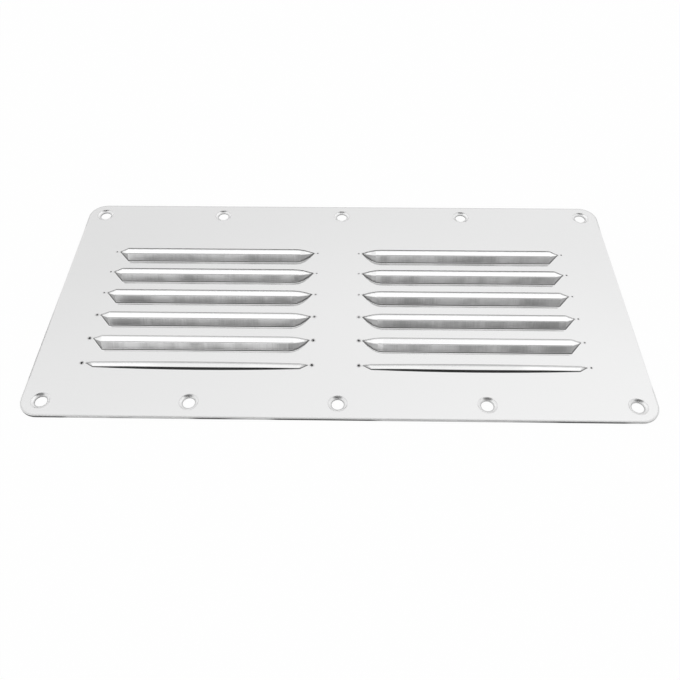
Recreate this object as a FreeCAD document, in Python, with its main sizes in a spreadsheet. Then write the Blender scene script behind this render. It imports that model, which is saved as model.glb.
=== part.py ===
"""Louvred sheet metal panel: one stamped and polished stainless steel sheet.

The sheet lies flat on its back. X runs along the long edges, Y points away from the slits'
closed side and +Z is up, out of the front face. The origin is the centre of the back face.
Two columns of louvres are pressed up out of the sheet. Each is a hood with one cut edge, the
lip, which looks towards +Y. The row nearest the -Y edge is pressed less deeply than the others.
All sizes are in millimetres and degrees, and are kept in the sheet named Sizes.
"""
import FreeCAD, Part
import math
import os

import Sketcher

SIZES = [
    # the flat blank
    ("panel_length", 232.0),
    ("panel_width", 117.5),
    ("sheet_thickness", 1.0),
    ("corner_radius", 7.5),
    ("rim_radius", 0.3),
    # the countersunk screw holes, in a line along each long edge
    ("screw_columns", 5),
    ("screw_end_margin", 7.5),
    ("screw_side_margin", 6.75),
    ("screw_hole", 4.5),
    ("countersink", 7.0),
    ("countersink_angle", 120.0),
    # the louvre field: two columns of slits
    ("slit_length", 85.0),
    ("columns_apart", 20.4),
    ("field_shift", -1.2),
    ("row_pitch", 12.35),
    ("deep_rows", 5),
    ("front_slit_from_centre", 34.5),
    ("tear_reach", 1.3),
    ("tear_hole", 0.9),
    # a deep hood: heights above the front face, and depths from the slit
    ("deep_depth", 5.6),
    ("deep_shoulder", 2.95),
    ("deep_face_angle", 62.0),
    ("deep_lip", 3.45),
    ("deep_setback", 1.2),
    ("deep_foot_radius", 0.7),
    ("deep_shoulder_radius", 0.5),
    ("deep_outer_run", 4.8),
    ("deep_inner_run", 8.0),
    # a shallow hood of the row nearest the front edge, with the share of its size at its ends
    ("front_depth", 2.8),
    ("front_shoulder", 0.85),
    ("front_face_angle", 52.0),
    ("front_lip", 1.75),
    ("front_setback", 0.15),
    ("front_foot_radius", 0.5),
    ("front_shoulder_radius", 0.3),
    ("front_run", 3.2),
    ("front_end_share", 0.7),
    # how far the cutting forms pass beyond what they cut
    ("overcut", 1.0),
]
# Into how many steps the curve of a hood's end or bow is divided, and the sides of a torn hole.
CURVE_STEPS = 4
TEAR_SIDES = 6

# A section is drawn in the YZ plane, along Y first and then up.
ACROSS = FreeCAD.Rotation(
    FreeCAD.Vector(0, 1, 0), FreeCAD.Vector(0, 0, 1), FreeCAD.Vector(1, 0, 0))

doc = FreeCAD.newDocument("LouvredPanel")
sizes = doc.addObject("Spreadsheet::Sheet", "Sizes")


def fill_sizes():
    """Write every driving size to its own named cell."""
    for row, (name, value) in enumerate(SIZES, start=1):
        sizes.set("A%d" % row, name)
        sizes.set("B%d" % row, str(value))
        sizes.setAlias("B%d" % row, name)
    doc.recompute()


def worth(expression):
    """The present value of an expression of the named sizes."""
    value = sizes.evalExpression(expression.replace("Sizes.", ""))
    return getattr(value, "Value", value)


def s(name):
    """The name of one size as other objects' expressions use it."""
    return "Sizes." + name


def outline(sketch, corners, bends):
    """Draw a closed outline whose corners are pairs of expressions from the sketch origin.

    bends gives, for a corner that an arc starts from, the arc's radius and its middle point.
    """
    points = [FreeCAD.Vector(worth(x), worth(y), 0) for x, y in corners]
    count = len(points)
    starts = []
    for index, point in enumerate(points):
        after = points[(index + 1) % count]
        piece = Part.LineSegment(point, after)
        forward = True
        if index in bends:
            middle = FreeCAD.Vector(*[worth(part) for part in bends[index][1]], 0)
            piece = Part.Arc(point, middle, after)
            forward = (after - point).cross(middle - point).z < 0
        # a sketch's arcs run anticlockwise, so one that turns the other way starts at its far end
        sketch.addGeometry(piece if forward else Part.Arc(after, middle, point))
        starts.append(forward)
    for index in range(count):
        after = (index + 1) % count
        sketch.addConstraint(Sketcher.Constraint(
            "Coincident", index, 2 if starts[index] else 1, after, 1 if starts[after] else 2))
    for index, (x, y) in enumerate(corners):
        for kind, expression in (("DistanceX", x), ("DistanceY", y)):
            here = sketch.addConstraint(Sketcher.Constraint(
                kind, -1, 1, index, 1 if starts[index] else 2, worth(expression)))
            sketch.setExpression("Constraints[%d]" % here, expression)
    for index, (radius, _) in bends.items():
        here = sketch.addConstraint(Sketcher.Constraint("Radius", index, worth(radius)))
        sketch.setExpression("Constraints[%d]" % here, radius)


def origin_plane(body, role):
    """One of a body's own origin planes."""
    return next(p for p in body.Origin.OriginFeatures if p.Role == role)


def blank_outline(body):
    """Sketch the rounded rectangle of the flat sheet."""
    sketch = body.newObject("Sketcher::SketchObject", "BlankOutline")
    sketch.AttachmentSupport = [(origin_plane(body, "XY_Plane"), "")]
    sketch.MapMode = "FlatFace"
    half_x, half_y, r = worth("panel_length / 2"), worth("panel_width / 2"), worth("corner_radius")
    ways = [(1, 1), (-1, 1), (-1, -1), (1, -1)]
    centres = [FreeCAD.Vector(i * (half_x - r), j * (half_y - r), 0) for i, j in ways]
    for quarter, centre in enumerate(centres):
        circle = Part.Circle(centre, FreeCAD.Vector(0, 0, 1), r)
        sketch.addGeometry(Part.ArcOfCircle(circle, quarter * math.pi / 2, (quarter + 1) * math.pi / 2))
    for quarter in range(4):
        here, there = sketch.Geometry[quarter], sketch.Geometry[(quarter + 1) % 4]
        sketch.addGeometry(Part.LineSegment(here.EndPoint, there.StartPoint))
    for quarter in range(4):
        side = 4 + quarter
        sketch.addConstraint(Sketcher.Constraint("Tangent", quarter, 2, side, 1))
        sketch.addConstraint(Sketcher.Constraint("Tangent", side, 2, (quarter + 1) % 4, 1))
    for quarter, (i, j) in enumerate(ways):
        for kind, way, size in (("DistanceX", i, "panel_length"), ("DistanceY", j, "panel_width")):
            expression = "%d * (%s / 2 - %s)" % (way, s(size), s("corner_radius"))
            here = sketch.addConstraint(
                Sketcher.Constraint(kind, -1, 1, quarter, 3, worth(expression)))
            sketch.setExpression("Constraints[%d]" % here, expression)
    here = sketch.addConstraint(Sketcher.Constraint("Radius", 0, r))
    sketch.setExpression("Constraints[%d]" % here, s("corner_radius"))
    return sketch


def screw_centres():
    """The screw hole centres, as pairs of expressions."""
    half_x = "(%s / 2 - %s)" % (s("panel_length"), s("screw_end_margin"))
    half_y = "(%s / 2 - %s)" % (s("panel_width"), s("screw_side_margin"))
    for j in (-1, 1):
        for i in range(int(worth("screw_columns"))):
            across = "%s * (2 * %d / (%s - 1) - 1)" % (half_x, i, s("screw_columns"))
            yield across, "%d * %s" % (j, half_y)


def make_blank():
    """The flat sheet with rounded corners, an eased front rim and its countersunk screw holes."""
    body = doc.addObject("PartDesign::Body", "Blank")
    pad = body.newObject("PartDesign::Pad", "Sheet")
    pad.Profile = blank_outline(body)
    pad.setExpression("Length", s("sheet_thickness"))
    doc.recompute()

    rim = body.newObject("PartDesign::Fillet", "Rim")
    level = [n for n, e in enumerate(pad.Shape.Edges, start=1)
             if e.BoundBox.ZLength < 1e-6 and e.BoundBox.ZMin > 0]
    rim.Base = (pad, ["Edge%d" % n for n in level])
    rim.setExpression("Radius", s("rim_radius"))
    doc.recompute()

    marks = body.newObject("Sketcher::SketchObject", "ScrewMarks")
    marks.AttachmentSupport = [(origin_plane(body, "XY_Plane"), "")]
    marks.MapMode = "FlatFace"
    marks.setExpression(".AttachmentOffset.Base.z", s("sheet_thickness"))
    for n, (x, y) in enumerate(screw_centres()):
        centre = FreeCAD.Vector(worth(x), worth(y), 0)
        marks.addGeometry(Part.Circle(centre, FreeCAD.Vector(0, 0, 1), worth("screw_hole / 2")))
        for kind, expression in (("DistanceX", x), ("DistanceY", y)):
            here = marks.addConstraint(Sketcher.Constraint(kind, -1, 1, n, 3, worth(expression)))
            marks.setExpression("Constraints[%d]" % here, expression)
        here = marks.addConstraint(Sketcher.Constraint("Diameter", n, worth("screw_hole")))
        marks.setExpression("Constraints[%d]" % here, s("screw_hole"))
    doc.recompute()

    holes = body.newObject("PartDesign::Hole", "ScrewHoles")
    holes.Profile = marks
    holes.DepthType = "ThroughAll"
    holes.setExpression("Diameter", s("screw_hole"))
    holes.HoleCutType = "Countersink"
    holes.HoleCutCustomValues = True
    holes.setExpression("HoleCutDiameter", s("countersink"))
    holes.setExpression("HoleCutCountersinkAngle", s("countersink_angle"))
    doc.recompute()
    return body


def slope(rise, reach):
    """The slope of a line in degrees, as a plain number like the sizes."""
    return "(atan(%s / %s) / 1 deg)" % (rise, reach)


def section(kind, skin):
    """Corners and bends of the section across a hood or, with a skin, of the hollow under it.

    The skin is how far the hollow lies inside the hood's outer faces. The section starts from the
    slit and from the face that it rises from: the front face for the hood, the back for the hollow.
    """
    depth, shoulder, lip, setback, face, foot, edge = [s("%s_%s" % (kind, size)) for size in (
        "depth", "shoulder", "lip", "setback", "face_angle", "foot_radius", "shoulder_radius")]
    # the corner that the lines of the steep face and of the top would meet in, and the top's slope
    corner = "(%s / tan(%s) - %s)" % (shoulder, face, depth), shoulder
    top = slope("(%s - %s)" % (lip, shoulder), "-(%s + %s)" % (setback, corner[0]))
    toe = "-(%s + %s * tan(%s / 2))" % (depth, foot, face)
    bend = "(%s + %s)" % (foot, skin)
    foot_end, foot_middle = [
        ("%s + %s * sin(%s)" % (toe, bend, angle), "%s * (1 - cos(%s))" % (bend, angle))
        for angle in (face, face + " / 2")]
    bends = {2: (bend, foot_middle)}

    if skin != "0":
        low = "-" + s("overcut")
        shared = "%s / (1 + cos(%s - %s))" % (skin, face, top)
        inner = ("(%s + %s * (sin(%s) + sin(%s)))" % (corner[0], shared, face, top),
                 "(%s + %s - %s * (cos(%s) + cos(%s)))" % (corner[1], skin, shared, face, top))
        at_slit = "0", "%s - %s * tan(%s)" % (inner[1], inner[0], top)
        return [("0", low), (toe, low), (toe, "0"), foot_end, inner, at_slit], bends

    # the hood reaches half-way down into the sheet, and its shoulder bends the other way
    low = "-%s / 2" % s("sheet_thickness")
    reach = "%s * tan((%s - %s) / 2)" % (edge, face, top)
    edge_start = ("%s - %s * cos(%s)" % (corner[0], reach, face),
                  "%s - %s * sin(%s)" % (corner[1], reach, face))
    edge_end = ("%s + %s * cos(%s)" % (corner[0], reach, top),
                "%s + %s * sin(%s)" % (corner[1], reach, top))
    half_way = "((%s + %s) / 2)" % (face, top)
    edge_middle = ("%s + %s * (sin(%s) - sin(%s))" % (edge_start[0], edge, face, half_way),
                   "%s - %s * (cos(%s) - cos(%s))" % (edge_start[1], edge, face, half_way))
    bends[4] = edge, edge_middle
    return [("0", low), (toe, low), (toe, "0"), foot_end, edge_start, edge_end,
            ("-" + setback, lip), ("0", "0")], bends


def place_across(thing, station, skin):
    """Stand a section at a station along the slit, on the face that it rises from."""
    thing.Placement.Rotation = ACROSS
    thing.setExpression(".Placement.Base.x", station)
    thing.setExpression(".Placement.Base.z", "-" + skin)


def half_form(name, way, sketch, skin, stations):
    """Half of a form, lofted from its pointed tip to its full section at the middle of the slit.

    stations gives, from the tip inwards, each distance and the scale of the section there.
    """
    def from_tip(inward):
        return "%d * (%s / 2 - %s - %s)" % (way, s("slit_length"), skin, inward)

    tip = doc.addObject("Part::Vertex", name + "Tip")
    tip.setExpression("X", from_tip("0"))
    tip.setExpression("Z", "-" + skin)
    sections = []
    for inward, scale in stations:
        copy = doc.addObject("Part::Scale", "%sSection%d" % (name, len(sections) + 1))
        copy.Base = sketch
        copy.setExpression("UniformScale", scale)
        place_across(copy, from_tip(inward), skin)
        sections.append(copy)
    half = doc.addObject("Part::Loft", name)
    half.Sections = [tip] + sections + [sketch]
    half.Solid = True
    half.Ruled = True
    return half


def whole_form(name, kind, skin, left, right):
    """A whole hood, or the hollow under it, from the stations near its left and its right tip."""
    sketch = doc.addObject("Sketcher::SketchObject", name + "Section")
    place_across(sketch, "0", skin)
    outline(sketch, *section(kind, skin))
    whole = doc.addObject("Part::MultiFuse", name)
    whole.Shapes = [half_form(name + end, way, sketch, skin, stations)
                    for end, way, stations in (("Left", -1, left), ("Right", 1, right))]
    whole.Refine = True
    doc.recompute()
    return whole


def deep_form(name, skin):
    """A deep hood of the left column: its outer end runs in straight, its inner end in a curve."""
    inner = []
    for step in range(1, CURVE_STEPS + 1):
        share = "%d / %d" % (step, CURVE_STEPS)
        inner.append(("%s * %s" % (s("deep_inner_run"), share), "1 - (1 - %s) ^ 2" % share))
    return whole_form(name, "deep", skin, [(s("deep_outer_run"), "1")], inner)


def front_form(name, skin):
    """A shallow hood of the front row, bowed from both ends to its middle as a parabola."""
    run, least = s("front_run"), s("front_end_share")
    bow = []
    for step in range(CURVE_STEPS):
        share = "%d / %d" % (step, CURVE_STEPS)
        bow.append(("(%s + (%s / 2 - %s - %s) * %s)" % (run, s("slit_length"), skin, run, share),
                    "1 - (1 - %s) * (1 - %s) ^ 2" % (least, share)))
    return whole_form(name, "front", skin, bow, bow)


def make_tears():
    """The small torn holes just past both ends of a slit, rough enough to be six-sided."""
    through = "(%s + 2 * %s)" % (s("sheet_thickness"), s("overcut"))
    reach = "(%s / 2 + %s)" % (s("slit_length"), s("tear_reach"))
    pieces = []
    for name, way in (("TearLeft", "-"), ("TearRight", "")):
        tear = doc.addObject("Part::Prism", name)
        tear.Polygon = TEAR_SIDES
        tear.setExpression("Circumradius", s("tear_hole") + " / 2")
        tear.setExpression("Height", through)
        tear.setExpression(".Placement.Base.x", way + reach)
        tear.setExpression(".Placement.Base.z", "-%s - %s" % (s("sheet_thickness"), s("overcut")))
        pieces.append(tear)
    tears = doc.addObject("Part::Compound", "Tears")
    tears.Links = pieces
    doc.recompute()
    return tears


def mirrored(form):
    """The same form with its ends changed over, for the right column."""
    mirror = doc.addObject("Part::Mirroring", form.Name + "Mirrored")
    mirror.Source = form
    mirror.Normal = FreeCAD.Vector(1, 0, 0)
    doc.recompute()
    return mirror


def at_slits(form, rows, columns=(-1, 1)):
    """Stand a form, drawn about its own slit, at every slit of the given rows and columns.

    Row 0 is the one nearest the front edge. The left column is -1 and the right one is 1.
    """
    links = []
    for row in rows:
        for column in columns:
            link = doc.addObject("App::Link", "%s%02d" % (form.Name, len(links) + 1))
            link.LinkedObject = form
            link.setExpression(".Placement.Base.x", "%d * (%s + %s) / 2 + %s" % (
                column, s("slit_length"), s("columns_apart"), s("field_shift")))
            link.setExpression(".Placement.Base.y", "%d * %s - %s" % (
                row, s("row_pitch"), s("front_slit_from_centre")))
            link.setExpression(".Placement.Base.z", s("sheet_thickness"))
            links.append(link)
    return links


def check(finished):
    """Stop on any object that failed, and on a result that is not one sound solid."""
    for thing in doc.Objects:
        if {"Invalid", "Error"} & set(thing.State):
            raise RuntimeError("%s is %s" % (thing.Name, thing.State))
    shape = finished.Shape
    if shape.isNull() or not shape.isValid() or len(shape.Solids) != 1:
        raise RuntimeError("the panel is not one sound solid: %d" % len(shape.Solids))


fill_sizes()
blank = make_blank()
sheet = s("sheet_thickness")
hood, hollow = deep_form("DeepHood", "0"), deep_form("DeepHollow", sheet)
front_hood, front_hollow = front_form("FrontHood", "0"), front_form("FrontHollow", sheet)

deep = range(1, 1 + int(worth("deep_rows")))
front = range(1)
raised = doc.addObject("Part::MultiFuse", "Raised")
raised.Shapes = ([blank] + at_slits(hood, deep, [-1]) + at_slits(mirrored(hood), deep, [1])
                 + at_slits(front_hood, front))
hollows = doc.addObject("Part::MultiFuse", "Hollows")
hollows.Shapes = (at_slits(hollow, deep, [-1]) + at_slits(mirrored(hollow), deep, [1])
                  + at_slits(front_hollow, front) + at_slits(make_tears(), range(1 + len(deep))))
panel = doc.addObject("Part::Cut", "Panel")
panel.Base = raised
panel.Tool = hollows
panel.Refine = True
panel.Label = "louvred_panel"
doc.recompute()
check(panel)

os.makedirs("parts", exist_ok=True)
panel.Shape.exportStep("parts/%s.step" % panel.Label)
print(panel.Label, "volume %.1f" % panel.Shape.Volume, panel.Shape.optimalBoundingBox())
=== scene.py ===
"""Looks of the louvred panel: one mirror-polished stainless sheet on a white studio floor."""
import math
from types import SimpleNamespace

import bpy
from mathutils import Matrix, Vector

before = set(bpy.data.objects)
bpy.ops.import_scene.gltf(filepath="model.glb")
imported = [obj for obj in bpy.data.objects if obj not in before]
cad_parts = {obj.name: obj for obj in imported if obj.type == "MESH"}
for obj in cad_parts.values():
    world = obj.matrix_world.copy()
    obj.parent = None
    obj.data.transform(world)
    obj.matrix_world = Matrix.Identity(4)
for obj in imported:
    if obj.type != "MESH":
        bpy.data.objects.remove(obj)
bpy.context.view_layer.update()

MM = 0.001
UP = (0, 0, 1)
WHITE = (1, 1, 1, 1)

# The camera that the photograph was taken with, in the panel's own frame.
CAMERA_EYE_MM = (4.3, -200.0, 212.2)
CAMERA_AIM_MM = (0.35, -21.05, 0.0)
CAMERA_ROLL_DEG = -0.43
CAMERA_LENS_MM = 37.5
CAMERA_SENSOR_MM = 36.0
CAMERA_CLIP_MM = 5.0

# The white paper that the sheet lies on, a little below it so that the two faces never meet. Seen
# directly or in the steel, the glow's share of it is plain white.
FLOOR_HALF_M = 3.0
FLOOR_DROP_MM = 0.02
FLOOR_GLOW = 0.96

# Where the features stand on the sheet, as the part's own sizes give them.
SHEET_MM = 1.0
HOLE_STEP_MM = 54.25
HOLE_ROW_MM = 52.0
HOLE_RADIUS_MM = 2.25
COUNTERSINK_RADIUS_MM = 3.5
FIELD_MIDDLE_MM = -1.2
COLUMN_MIDDLE_MM = 52.7
HALF_SLIT_MM = 42.5
FRONT_SLIT_MM = -34.5
FRONT_DEPTH_MM = 2.8
FRONT_FOOT_MM = FRONT_SLIT_MM - FRONT_DEPTH_MM
FRONT_SHOULDER_MM = 0.85
FOOT_HEIGHT_MM = 0.4

# Edges that turn by more than this angle stay crisp, but for the corners of the hoods: edges that
# stand on the front face, within the tolerance, and climb by more than this share of their length.
CRISP_ANGLE_DEG = 24
FRONT_TOLERANCE_MM = 0.01
CORNER_CLIMB = 0.3
FLATS_WEIGHT = 100

# Stainless steel as buffed and as cut by the shear, with painted shade on the hoods' steep faces
# and creases and a painted dark line along the lips and holes.
BUFFED_HEX = "#EEEEEE"
# Painted shade of the steep faces: light and dark in streaks, plain grey round their ends.
STEEP_SHADE_LIGHT_HEX = "#D0D0D0"
STEEP_SHADE_DARK_HEX = "#A8A8A8"
END_SHADE_HEX = "#B4B4B4"
CUT_LIGHT_HEX = "#D4D4D4"
CUT_DARK_HEX = "#484848"
# A painted dark line: a painted reflection along the lips and painted shade round the holes.
EDGE_SHADE_HEX = "#2A2A2A"
# Painted shade in the crease at each hood's foot.
CREASE_SHADE_HEX = "#6A6A6A"
PAPER_HEX = "#FAFAFA"

BUFFED_ROUGHNESS = (0.08, 0.15)
DULL_ROUGHNESS = 0.42
COUNTERSINK_ROUGHNESS = 0.3
CREASE_DULLNESS = 0.4

# The grain of the finish: its size in mm along X, Y and Z, and its noise's detail and roughness.
# Real buffing lines are about 0.02 mm wide and the streaks of the press about 0.1 mm. Both are
# too fine to show, so they are drawn as wide as a pixel of the render. The rubs down the steep
# faces, the patches along the cut rim and the waves of the sheet have their real size.
GRAIN = {
    "lines": ((60.0, 0.35, 0.35), 3.0, 0.6),
    "streaks": ((0.5, 9.0, 9.0), 4.0, 0.7),
    "rubs": ((9.0, 9.0, 9.0), 2.0, 0.5),
    "patches": ((22.0, 22.0, 22.0), 1.0, 0.6),
    "waves": ((38.0, 38.0, 38.0), 1.0, 0.6),
}
LINES_NOISE = (0.3, 0.7)
MARKS_NOISE = (0.4, 0.62)
PATCHES_NOISE = (0.45, 0.56)
RUBS_SHARE = 0.72

WAVE_HEIGHT_MM = 0.35
WAVE_STRENGTH = 0.25
LINE_HEIGHT_MM = 0.004
LINE_STRENGTH = 0.10
STREAK_HEIGHT_MM = 0.02

# Where each finish and each painted shade starts and where it is full, by the direction that the
# surface faces: the height of its normal, or how far the normal turns towards the hood's end.
DRAWN_AND_SHADED_SLOPE = (0.54, 0.49)
CREASE_SLOPE = (0.985, 0.90)
CUT_SLOPE = (0.25, 0.15)
TOP_SLOPE = (0.6, 0.7)
END_TURN = (0.15, 0.6)

# The same by place, in mm: up from the floor, off the sheet's middle, along a column or from a
# screw's axis.
ON_FRONT_MM = (SHEET_MM - 0.02, SHEET_MM + 0.02)
FACE_CREASE_MM = (SHEET_MM + FOOT_HEIGHT_MM, SHEET_MM + FOOT_HEIGHT_MM / 2)
END_CREASE_MM = (SHEET_MM + 2 * FOOT_HEIGHT_MM, SHEET_MM + FOOT_HEIGHT_MM)
IN_FIELD_MM = (45.0, 42.0)
PAST_SLIT_MM = (HALF_SLIT_MM + 0.1, HALF_SLIT_MM + 0.5)
COUNTERSINK_EDGE_MM = (COUNTERSINK_RADIUS_MM + 0.05, COUNTERSINK_RADIUS_MM - 0.05)

# The painted dark line along the edges, a painted reflection along the lips and painted shade
# round the holes: how far it reaches from an edge, how far a bevel's normal turns there, and how
# strong it is. It grows along Y on the lips, along Y and X round the torn holes.
EDGE_SHADE_REACH_MM = 1.3
EDGE_SHADE_SAMPLES = 6
EDGE_SHADE_TURN = (0.975, 0.90)
EDGE_SHADE_LEAN = (0.06, 0.22)
LIP_SHADE_BY_Y = (FRONT_SLIT_MM, 10.0), (0.5, 1.0)
TEAR_SHADE_BY_Y = (5.0, -20.0), (0.0, 1.0)
TEAR_SHADE_BY_X = (85.0, 60.0), (0.1, 1.0)
SCREW_SHADE = 0.55

# How far the front row's steep face rolls over, by its height and its bow, and where it stands.
ROLL = (1.03, 1.25), (0.31, 0.60)
FRONT_HEIGHT_MM = (SHEET_MM, SHEET_MM + FRONT_SHOULDER_MM)
FRONT_BACK_MM = (FRONT_SLIT_MM + 1.0, FRONT_SLIT_MM)
FRONT_EDGE_MM = (FRONT_FOOT_MM - 1.0, FRONT_FOOT_MM - 0.5)

# A dished countersink's height over a plain cone, in mm, is t * (DISH_CURVE * t + DISH_FALL),
# where t goes from 0 at the hole to 1 at the countersink's rim.
DISH_CURVE = 0.294
DISH_FALL = -0.263

# The studio that the steel mirrors. Each span runs over a part of the direction to the studio: X
# to the right, Y away from the camera and Z up. Brightness is 1 for white. The screen overhead is
# bounded by Y / Z and X / Z, as a level screen is.
SCREEN_BY_Z = (0.64, 0.735), (0.915, 0.99)
SCREEN_BY_X = (-0.4, 0.4), (0.93, 1.04)
SCREEN_ABOVE = (0.0, 0.1)
SCREEN_NEAR = (0.56, 0.64)
SCREEN_FAR = (1.5, 1.32)
SCREEN_SIDES = (0.72, 0.62)
WALL_LOWERED_BY_Y = (0.25, 0.40), (0.28, 0.0)
WALL_BY_Z = (0.42, 0.57), (0.92, 1.2)
ZENITH_BY_Z = (0.925, 0.955), (1.0, 0.86)
SIDE_WALL_OUT = (0.55, 0.70)
SIDE_WALL_LOW = (0.27, 0.17)
SIDE_WALL_LIGHT = 1.2
FRONT_WALL_NEAR = (-0.3, -0.7)
FRONT_WALL_LOW = (0.30, 0.20)
FRONT_WALL_BY_X = (-0.35, 0.35), (2.7, 0.08)
FRONT_WALL_END_BY_X = (-0.5, -0.33), (0.4, 1.0)
OPENING_UP_DEG = 60
OPENING_WIDENING = (0.4, 1, 1)
OPENING_EDGE_DEG = (18, 15)
OPENING_LIGHT = (1.0, 0.03)


def linear(hex_colour):
    """An sRGB hex colour as linear red, green, blue and alpha."""
    parts = [int(hex_colour[i:i + 2], 16) / 255 for i in (1, 3, 5)]
    return [c / 12.92 if c <= 0.04045 else ((c + 0.055) / 1.055) ** 2.4 for c in parts] + [1.0]


def add_node(tree, kind, links=None, **settings):
    """Add a shader node: settings are its attributes, links its inputs' values or sources."""
    node = tree.nodes.new(kind)
    for name, value in settings.items():
        setattr(node, name, value)
    for socket, value in (links or {}).items():
        if isinstance(value, bpy.types.NodeSocket):
            tree.links.new(value, node.inputs[socket])
        else:
            node.inputs[socket].default_value = value
    return node


def span(value, ends, results=(0.0, 1.0), unit=1.0):
    """The inputs that turn a value between two ends into one between two results."""
    return {"Value": value, "From Min": ends[0] * unit, "From Max": ends[1] * unit,
            "To Min": results[0], "To Max": results[1]}


def new_material(name):
    """An empty node material with its output node."""
    material = bpy.data.materials.new(name)
    material.use_nodes = True
    tree = material.node_tree
    tree.nodes.clear()
    return material, tree, add_node(tree, "ShaderNodeOutputMaterial")


def survey_sheet(tree):
    """Sockets that tell where a point of the sheet is, and which way the sheet faces there."""
    place = add_node(tree, "ShaderNodeTexCoord").outputs["Object"]
    spot = add_node(tree, "ShaderNodeSeparateXYZ", {"Vector": place}).outputs
    geometry = add_node(tree, "ShaderNodeNewGeometry").outputs
    facing = add_node(tree, "ShaderNodeSeparateXYZ", {"Vector": geometry["Normal"]}).outputs
    facet = add_node(tree, "ShaderNodeSeparateXYZ", {"Vector": geometry["True Normal"]}).outputs

    # Along the slits from the middle of the nearer column, and across them from the sheet's.
    aside = spot["X"]
    for middle in (FIELD_MIDDLE_MM, COLUMN_MIDDLE_MM):
        aside = add_node(tree, "ShaderNodeMath", {
            0: aside, 1: middle * MM}, operation="SUBTRACT").outputs[0]
        aside = add_node(tree, "ShaderNodeMath", {0: aside}, operation="ABSOLUTE").outputs[0]
    off_middle = add_node(tree, "ShaderNodeMath", {0: spot["Y"]}, operation="ABSOLUTE").outputs[0]

    # From the axis of the nearest screw.
    axis_x = add_node(tree, "ShaderNodeMath", {
        0: spot["X"], 1: HOLE_STEP_MM / 2 * MM}, operation="PINGPONG").outputs[0]
    axis_y = add_node(tree, "ShaderNodeMath", {
        0: off_middle, 1: HOLE_ROW_MM * MM}, operation="SUBTRACT").outputs[0]
    to_axis = add_node(tree, "ShaderNodeCombineXYZ", {"X": axis_x, "Y": axis_y}).outputs["Vector"]
    from_axis = add_node(tree, "ShaderNodeVectorMath", {
        0: to_axis}, operation="LENGTH").outputs["Value"]
    return SimpleNamespace(
        place=place, x=spot["X"], y=spot["Y"], z=spot["Z"], aside=aside, off_middle=off_middle,
        from_axis=from_axis, normal=geometry["Normal"], facing=facing, facet=facet)


def add_grain(tree, place):
    """Noise for each grain of the finish, by its name."""
    grain = {}
    for name, (size, detail, roughness) in GRAIN.items():
        scaled = add_node(tree, "ShaderNodeMapping", {
            "Vector": place, "Scale": [1 / (length * MM) for length in size]}).outputs["Vector"]
        grain[name] = add_node(tree, "ShaderNodeTexNoise", {
            "Vector": scaled, "Scale": 1.0, "Detail": detail,
            "Roughness": roughness}).outputs["Fac"]
    return grain


def mask_finishes_and_shade(tree, at):
    """How much each point was stretched, torn or cut when the sheet was pressed, and where the
    steep faces and the creases get painted shade.
    """
    # The steep faces are the ones that the press stretched, most of all round the ends. Their
    # colour also carries painted shade, plain grey round the ends.
    drawn_and_shaded = add_node(tree, "ShaderNodeMapRange", span(
        at.facing["Z"], DRAWN_AND_SHADED_SLOPE)).outputs["Result"]
    turned = add_node(tree, "ShaderNodeMath", {0: at.facing["X"]}, operation="ABSOLUTE").outputs[0]
    ended = add_node(tree, "ShaderNodeMapRange", span(turned, END_TURN)).outputs["Result"]

    # The painted shade in the crease at each hood's foot, where the sheet turns up:
    # wider round the ends.
    face_crease, end_crease, on_front = (
        add_node(tree, "ShaderNodeMapRange", span(at.z, ends, unit=MM)).outputs["Result"]
        for ends in (FACE_CREASE_MM, END_CREASE_MM, ON_FRONT_MM))
    end_crease = add_node(tree, "ShaderNodeMath", {
        0: end_crease, 1: ended}, operation="MULTIPLY").outputs[0]
    at_foot = add_node(tree, "ShaderNodeMath", {
        0: face_crease, 1: end_crease}, operation="MAXIMUM").outputs[0]
    shaded_crease = add_node(tree, "ShaderNodeMapRange", span(
        at.facing["Z"], CREASE_SLOPE)).outputs["Result"]
    for part in (at_foot, on_front):
        shaded_crease = add_node(tree, "ShaderNodeMath", {
            0: shaded_crease, 1: part}, operation="MULTIPLY").outputs[0]

    # The torn holes stand in the field of louvres, just past the slits' tips.
    in_field = add_node(tree, "ShaderNodeMapRange", span(
        at.off_middle, IN_FIELD_MM, unit=MM)).outputs["Result"]
    past_slit = add_node(tree, "ShaderNodeMapRange", span(
        at.aside, PAST_SLIT_MM, unit=MM)).outputs["Result"]
    torn = add_node(tree, "ShaderNodeMath", {
        0: past_slit, 1: in_field}, operation="MULTIPLY").outputs[0]

    # Other upright facets are cut metal.
    untorn = add_node(tree, "ShaderNodeMath", {0: 1.0, 1: torn}, operation="SUBTRACT").outputs[0]
    level = add_node(tree, "ShaderNodeMath", {0: at.facet["Z"]}, operation="ABSOLUTE").outputs[0]
    upright = add_node(tree, "ShaderNodeMapRange", span(level, CUT_SLOPE)).outputs["Result"]
    cut = add_node(tree, "ShaderNodeMath", {
        0: upright, 1: untorn}, operation="MULTIPLY").outputs[0]
    return SimpleNamespace(
        drawn_and_shaded=drawn_and_shaded, ended=ended, shaded_crease=shaded_crease, in_field=in_field, torn=torn, cut=cut)


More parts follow.
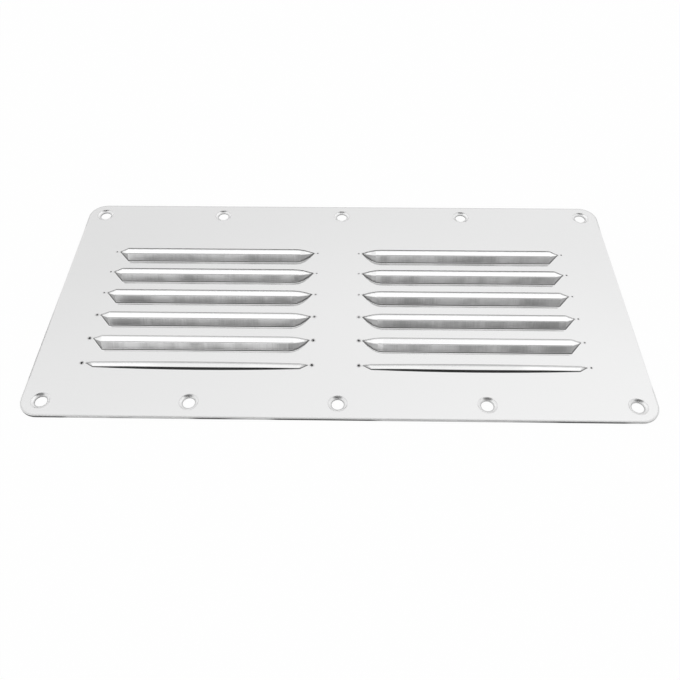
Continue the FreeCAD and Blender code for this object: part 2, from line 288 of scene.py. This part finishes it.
def mask_edge_shade(tree, at, finish_and_shade):
    """How much each point has of the painted dark line: a painted reflection along the lips and
    painted shade round the holes.
    """
    # Near an edge, a bevel's normal turns off the sheet's own. Beside a lip it leans backwards.
    eased = add_node(tree, "ShaderNodeBevel", {
        "Radius": EDGE_SHADE_REACH_MM * MM}, samples=EDGE_SHADE_SAMPLES).outputs["Normal"]
    nearness = add_node(tree, "ShaderNodeVectorMath", {
        0: eased, 1: at.normal}, operation="DOT_PRODUCT").outputs["Value"]
    near_edge = add_node(tree, "ShaderNodeMapRange", span(nearness, EDGE_SHADE_TURN)).outputs["Result"]
    eased_way = add_node(tree, "ShaderNodeSeparateXYZ", {"Vector": eased}).outputs
    lean = add_node(tree, "ShaderNodeMath", {
        0: eased_way["Y"], 1: at.facing["Y"]}, operation="SUBTRACT").outputs[0]

    # On the lips it is on top alone, and grows towards the back row.
    on_lips = add_node(tree, "ShaderNodeMapRange", span(lean, EDGE_SHADE_LEAN)).outputs["Result"]
    topside = add_node(tree, "ShaderNodeMapRange", span(
        at.facing["Z"], TOP_SLOPE)).outputs["Result"]
    backward = add_node(tree, "ShaderNodeMapRange", span(
        at.y, *LIP_SHADE_BY_Y, unit=MM)).outputs["Result"]
    for part in (topside, backward):
        on_lips = add_node(tree, "ShaderNodeMath", {
            0: on_lips, 1: part}, operation="MULTIPLY").outputs[0]

    # Round the torn holes it grows towards the front left, and round the screws it is even.
    at_tears = add_node(tree, "ShaderNodeMapRange", span(
        at.y, *TEAR_SHADE_BY_Y, unit=MM)).outputs["Result"]
    leftward = add_node(tree, "ShaderNodeMapRange", span(
        at.x, *TEAR_SHADE_BY_X, unit=MM)).outputs["Result"]
    for part in (leftward, near_edge):
        at_tears = add_node(tree, "ShaderNodeMath", {
            0: at_tears, 1: part}, operation="MULTIPLY").outputs[0]
    at_screws = add_node(tree, "ShaderNodeMath", {
        0: near_edge, 1: SCREW_SHADE}, operation="MULTIPLY").outputs[0]

    field_shade = add_node(tree, "ShaderNodeMix", {
        "Factor": finish_and_shade.torn, "A": on_lips, "B": at_tears}).outputs["Result"]
    return add_node(tree, "ShaderNodeMix", {
        "Factor": finish_and_shade.in_field, "A": at_screws, "B": field_shade}).outputs["Result"]


def colour_steel(tree, grain, finish_and_shade, edge_shade):
    """The steel's colour, from the buffed sheet to the painted dark edge line on top of all else,
    with painted shade on the steep faces and in the creases.
    """
    marks = add_node(tree, "ShaderNodeMix", {
        "Factor": RUBS_SHARE, "A": grain["streaks"], "B": grain["rubs"]}).outputs["Result"]
    marked = add_node(tree, "ShaderNodeMapRange", span(marks, MARKS_NOISE)).outputs["Result"]
    patched = add_node(tree, "ShaderNodeMapRange", span(
        grain["patches"], PATCHES_NOISE)).outputs["Result"]
    # Painted shade on the steep faces, light and dark in streaks and rubs, plain grey round the
    # ends.
    streaky_shade = add_node(tree, "ShaderNodeMix", {
        "Factor": marked, "A": linear(STEEP_SHADE_LIGHT_HEX), "B": linear(STEEP_SHADE_DARK_HEX)},
        data_type="RGBA").outputs["Result"]
    steep_shade = add_node(tree, "ShaderNodeMix", {
        "Factor": finish_and_shade.ended, "A": streaky_shade, "B": linear(END_SHADE_HEX)},
        data_type="RGBA").outputs["Result"]
    patchy = add_node(tree, "ShaderNodeMix", {
        "Factor": patched, "A": linear(CUT_DARK_HEX), "B": linear(CUT_LIGHT_HEX)},
        data_type="RGBA").outputs["Result"]

    # Over the buffed colour: painted shade on the steep faces and in the creases, the cut metal,
    # and the painted dark line along the edges on top.
    colour = linear(BUFFED_HEX)
    for mask, finish in ((finish_and_shade.drawn_and_shaded, steep_shade), (finish_and_shade.shaded_crease, linear(CREASE_SHADE_HEX)),
                         (finish_and_shade.cut, patchy), (edge_shade, linear(EDGE_SHADE_HEX))):
        colour = add_node(tree, "ShaderNodeMix", {
            "Factor": mask, "A": colour, "B": finish}, data_type="RGBA").outputs["Result"]
    return colour


def dull_steel(tree, at, grain, finish_and_shade, edge_shade):
    """Roughness: low under the buffing lines, higher on the steep faces, the creases, the cut rim
    and where the dark edge line is painted.
    """
    buffed = add_node(tree, "ShaderNodeMapRange", span(
        grain["lines"], LINES_NOISE, BUFFED_ROUGHNESS)).outputs["Result"]
    dull = add_node(tree, "ShaderNodeMath", {
        0: finish_and_shade.shaded_crease, 1: CREASE_DULLNESS}, operation="MULTIPLY").outputs[0]
    for mask in (finish_and_shade.drawn_and_shaded, finish_and_shade.cut, edge_shade):
        dull = add_node(tree, "ShaderNodeMath", {0: dull, 1: mask}, operation="MAXIMUM").outputs[0]
    sunk = add_node(tree, "ShaderNodeMapRange", span(
        at.from_axis, COUNTERSINK_EDGE_MM, unit=MM)).outputs["Result"]
    roughness = add_node(tree, "ShaderNodeMix", {
        "Factor": dull, "A": buffed, "B": DULL_ROUGHNESS}).outputs["Result"]
    return add_node(tree, "ShaderNodeMix", {
        "Factor": sunk, "A": roughness, "B": COUNTERSINK_ROUGHNESS}).outputs["Result"]


def bend_normal(tree, at, grain, drawn_and_shaded):
    """The normal with the relief that is too slight for the mesh."""
    # The front row's steep face rolls over towards its ends, so it shows as a crescent.
    bow = add_node(tree, "ShaderNodeMath", {
        0: at.aside, 1: HALF_SLIT_MM * MM}, operation="DIVIDE").outputs[0]
    bow = add_node(tree, "ShaderNodeMath", {0: bow, 1: 2.0}, operation="POWER").outputs[0]
    height = add_node(tree, "ShaderNodeMapRange", span(
        at.z, FRONT_HEIGHT_MM, unit=MM)).outputs["Result"]
    rolled = add_node(tree, "ShaderNodeMath", {0: height, 1: bow}, operation="ADD").outputs[0]
    rolled = add_node(tree, "ShaderNodeMapRange", span(rolled, *ROLL)).outputs["Result"]
    for ends in (FRONT_BACK_MM, FRONT_EDGE_MM):
        inside = add_node(tree, "ShaderNodeMapRange", span(at.y, ends, unit=MM)).outputs["Result"]
        rolled = add_node(tree, "ShaderNodeMath", {
            0: rolled, 1: inside}, operation="MULTIPLY").outputs[0]
    normal = add_node(tree, "ShaderNodeMix", {
        "Factor": rolled, "A": at.normal, "B": UP}, data_type="VECTOR").outputs["Result"]
    normal = add_node(tree, "ShaderNodeVectorMath", {
        0: normal}, operation="NORMALIZE").outputs["Vector"]

    # The countersinks are dished: steepest at the outside, so each shows a dark crescent.
    outward = add_node(tree, "ShaderNodeMapRange", span(
        at.from_axis, (HOLE_RADIUS_MM, COUNTERSINK_RADIUS_MM), unit=MM)).outputs["Result"]
    dish = add_node(tree, "ShaderNodeMath", {
        0: outward, 1: DISH_CURVE, 2: DISH_FALL}, operation="MULTIPLY_ADD").outputs[0]
    dish = add_node(tree, "ShaderNodeMath", {
        0: outward, 1: dish}, operation="MULTIPLY").outputs[0]

    # The dish is in mm already, and the noises go from 0 to 1.
    for height, strength, height_mm in (
            (dish, 1.0, 1.0),
            (grain["waves"], WAVE_STRENGTH, WAVE_HEIGHT_MM),
            (grain["lines"], LINE_STRENGTH, LINE_HEIGHT_MM),
            (grain["streaks"], drawn_and_shaded, STREAK_HEIGHT_MM)):
        normal = add_node(tree, "ShaderNodeBump", {
            "Height": height, "Strength": strength, "Distance": height_mm * MM,
            "Normal": normal}).outputs["Normal"]
    return normal


def mirror_polished_stainless():
    """Stainless steel sheet, buffed bright and then pressed.

    The flat sheet gives the eye clear reflections under faint lines from the buffing wheel. The
    steep faces of the hoods, which the press stretched, are duller, streaked and rubbed along their
    length, and carry painted shade: plain grey round the ends, and darker still in the crease at
    their foot. The cut rim is patchy, part bright and part dark. The lips and the holes have a
    painted dark line, a painted reflection along the lips and painted shade round the holes, and
    the countersinks are satin, as their cutter left them.
    """
    material, tree, output = new_material("mirror_polished_stainless")
    at = survey_sheet(tree)
    grain = add_grain(tree, at.place)
    finish_and_shade = mask_finishes_and_shade(tree, at)
    edge_shade = mask_edge_shade(tree, at, finish_and_shade)
    shader = add_node(tree, "ShaderNodeBsdfPrincipled", {
        "Base Color": colour_steel(tree, grain, finish_and_shade, edge_shade), "Metallic": 1.0,
        "Roughness": dull_steel(tree, at, grain, finish_and_shade, edge_shade),
        "Normal": bend_normal(tree, at, grain, finish_and_shade.drawn_and_shaded)})
    tree.links.new(shader.outputs["BSDF"], output.inputs["Surface"])
    return material


def white_paper_sweep():
    """Matt white paper: it gives an even white ground that still takes the panel's soft shadow."""
    material, tree, output = new_material("white_paper_sweep")
    path = add_node(tree, "ShaderNodeLightPath").outputs
    seen = path["Is Camera Ray"]
    for ray in ("Is Glossy Ray", "Is Transmission Ray"):
        seen = add_node(tree, "ShaderNodeMath", {
            0: seen, 1: path[ray]}, operation="MAXIMUM").outputs[0]
    share = add_node(tree, "ShaderNodeMath", {
        0: seen, 1: FLOOR_GLOW}, operation="MULTIPLY").outputs[0]
    paper = add_node(tree, "ShaderNodeBsdfDiffuse", {"Color": linear(PAPER_HEX)}).outputs["BSDF"]
    glow = add_node(tree, "ShaderNodeEmission", {
        "Color": WHITE, "Strength": 1.0}).outputs["Emission"]
    mixed = add_node(tree, "ShaderNodeMixShader", {"Fac": share, 1: paper, 2: glow})
    tree.links.new(mixed.outputs["Shader"], output.inputs["Surface"])
    return material


def make_floor():
    """The floor that the sheet lies on."""
    half = FLOOR_HALF_M
    mesh = bpy.data.meshes.new("floor")
    corners = [(-half, -half, 0), (half, -half, 0), (half, half, 0), (-half, half, 0)]
    mesh.from_pydata(corners, [], [(0, 1, 2, 3)])
    floor = bpy.data.objects.new("floor", mesh)
    floor.location.z = -FLOOR_DROP_MM * MM
    bpy.context.scene.collection.objects.link(floor)
    floor.data.materials.append(white_paper_sweep())


def studio_world():
    """A studio with a pale grey screen overhead and a dark opening round the camera.

    Its walls are pale grey under a white ceiling. The camera itself sees plain white.
    """
    world = bpy.data.worlds.new("studio")
    bpy.context.scene.world = world
    world.use_nodes = True
    tree = world.node_tree
    tree.nodes.clear()
    output = add_node(tree, "ShaderNodeOutputWorld")
    look = add_node(tree, "ShaderNodeTexCoord").outputs["Generated"]
    way = add_node(tree, "ShaderNodeSeparateXYZ", {"Vector": look}).outputs
    sideways = add_node(tree, "ShaderNodeMath", {0: way["X"]}, operation="ABSOLUTE").outputs[0]

    # The pale grey screen, which the flat sheet mirrors: paler towards its near side and the right.
    away = add_node(tree, "ShaderNodeMath", {
        0: way["Y"], 1: way["Z"]}, operation="DIVIDE").outputs[0]
    across = add_node(tree, "ShaderNodeMath", {
        0: way["X"], 1: way["Z"]}, operation="DIVIDE").outputs[0]
    across = add_node(tree, "ShaderNodeMath", {0: across}, operation="ABSOLUTE").outputs[0]
    screen, righter = (
        add_node(tree, "ShaderNodeMapRange", span(part, *change)).outputs["Result"]
        for part, change in ((way["Z"], SCREEN_BY_Z), (way["X"], SCREEN_BY_X)))
    screen = add_node(tree, "ShaderNodeMath", {
        0: screen, 1: righter}, operation="MULTIPLY").outputs[0]
    on_screen = add_node(tree, "ShaderNodeMapRange", span(way["Z"], SCREEN_ABOVE)).outputs["Result"]
    for part, ends in ((away, SCREEN_NEAR), (away, SCREEN_FAR), (across, SCREEN_SIDES)):
        inside = add_node(tree, "ShaderNodeMapRange", span(
            part, ends), interpolation_type="SMOOTHSTEP").outputs["Result"]
        on_screen = add_node(tree, "ShaderNodeMath", {
            0: on_screen, 1: inside}, operation="MULTIPLY").outputs[0]

    # Elsewhere the walls are pale grey under a white ceiling that is grey again straight overhead.
    lowered = add_node(tree, "ShaderNodeMapRange", span(
        way["Y"], *WALL_LOWERED_BY_Y)).outputs["Result"]
    wall_height = add_node(tree, "ShaderNodeMath", {
        0: way["Z"], 1: lowered}, operation="SUBTRACT").outputs[0]
    light = add_node(tree, "ShaderNodeMapRange", span(wall_height, *WALL_BY_Z)).outputs["Result"]
    zenith = add_node(tree, "ShaderNodeMapRange", span(way["Z"], *ZENITH_BY_Z)).outputs["Result"]
    light = add_node(tree, "ShaderNodeMath", {
        0: light, 1: zenith}, operation="MULTIPLY").outputs[0]

    # In front the low wall is grey and darker to the right. Far out to both sides it is white.
    near, low, out, foot = (
        add_node(tree, "ShaderNodeMapRange", span(part, ends)).outputs["Result"]
        for part, ends in ((way["Y"], FRONT_WALL_NEAR), (way["Z"], FRONT_WALL_LOW),
                           (sideways, SIDE_WALL_OUT), (way["Z"], SIDE_WALL_LOW)))
    in_front = add_node(tree, "ShaderNodeMath", {0: near, 1: low}, operation="MULTIPLY").outputs[0]
    far_out = add_node(tree, "ShaderNodeMath", {0: out, 1: foot}, operation="MULTIPLY").outputs[0]
    front, left_end = (
        add_node(tree, "ShaderNodeMapRange", span(way["X"], *change)).outputs["Result"]
        for change in (FRONT_WALL_BY_X, FRONT_WALL_END_BY_X))
    front = add_node(tree, "ShaderNodeMath", {
        0: front, 1: left_end}, operation="MULTIPLY").outputs[0]
    for mask, brightness in (
            (on_screen, screen), (in_front, front), (far_out, SIDE_WALL_LIGHT)):
        light = add_node(tree, "ShaderNodeMix", {
            "Factor": mask, "A": light, "B": brightness}).outputs["Result"]

    # The dark opening round the camera, much wider than high.
    up = math.radians(OPENING_UP_DEG)
    squeezed = add_node(tree, "ShaderNodeVectorMath", {
        0: look, 1: OPENING_WIDENING}, operation="MULTIPLY").outputs["Vector"]
    squeezed = add_node(tree, "ShaderNodeVectorMath", {
        0: squeezed}, operation="NORMALIZE").outputs["Vector"]
    to_middle = add_node(tree, "ShaderNodeVectorMath", {
        0: squeezed, 1: (0, -math.cos(up), math.sin(up))}, operation="DOT_PRODUCT").outputs["Value"]
    opening = add_node(tree, "ShaderNodeMapRange", span(
        to_middle, [math.cos(math.radians(edge)) for edge in OPENING_EDGE_DEG], OPENING_LIGHT),
        interpolation_type="SMOOTHSTEP").outputs["Result"]
    light = add_node(tree, "ShaderNodeMath", {
        0: light, 1: opening}, operation="MULTIPLY").outputs[0]

    around, plain = (
        add_node(tree, "ShaderNodeBackground", {
            "Color": WHITE, "Strength": strength}).outputs["Background"]
        for strength in (light, 1.0))
    camera = add_node(tree, "ShaderNodeLightPath").outputs["Is Camera Ray"]
    mixed = add_node(tree, "ShaderNodeMixShader", {"Fac": camera, 1: around, 2: plain})
    tree.links.new(mixed.outputs["Shader"], output.inputs["Surface"])


def make_camera():
    """The camera of the photograph."""
    data = bpy.data.cameras.new("camera")
    data.sensor_width = CAMERA_SENSOR_MM
    data.lens = CAMERA_LENS_MM
    data.clip_start = CAMERA_CLIP_MM * MM
    camera = bpy.data.objects.new("camera", data)
    bpy.context.scene.collection.objects.link(camera)
    eye, aim = Vector(CAMERA_EYE_MM) * MM, Vector(CAMERA_AIM_MM) * MM
    turn = (aim - eye).to_track_quat("-Z", "Y").to_matrix()
    roll = Matrix.Rotation(math.radians(CAMERA_ROLL_DEG), 3, "Z")
    camera.matrix_world = Matrix.Translation(eye) @ (turn @ roll).to_4x4()
    bpy.context.scene.camera = camera


def dress_panel():
    """Give the panel its finish, with smooth bends and crisp cut edges.

    The corners that climb a hood's end are bends of the press too, so none of them is crisp.
    """
    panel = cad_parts["louvred_panel"]
    mesh = panel.data
    mesh.shade_smooth()
    mesh.set_sharp_from_angle(angle=math.radians(CRISP_ANGLE_DEG))
    for edge in mesh.edges:
        one, other = (mesh.vertices[index].co for index in edge.vertices)
        climbs = abs(one.z - other.z) > CORNER_CLIMB * (one - other).length
        if climbs and min(one.z, other.z) > (SHEET_MM - FRONT_TOLERANCE_MM) * MM:
            edge.use_edge_sharp = False
    even = panel.modifiers.new("even_flats", "WEIGHTED_NORMAL")
    even.keep_sharp = True
    even.weight = FLATS_WEIGHT
    mesh.materials.clear()
    mesh.materials.append(mirror_polished_stainless())


bpy.context.scene.view_settings.view_transform = "Standard"
make_camera()
dress_panel()
make_floor()
studio_world()
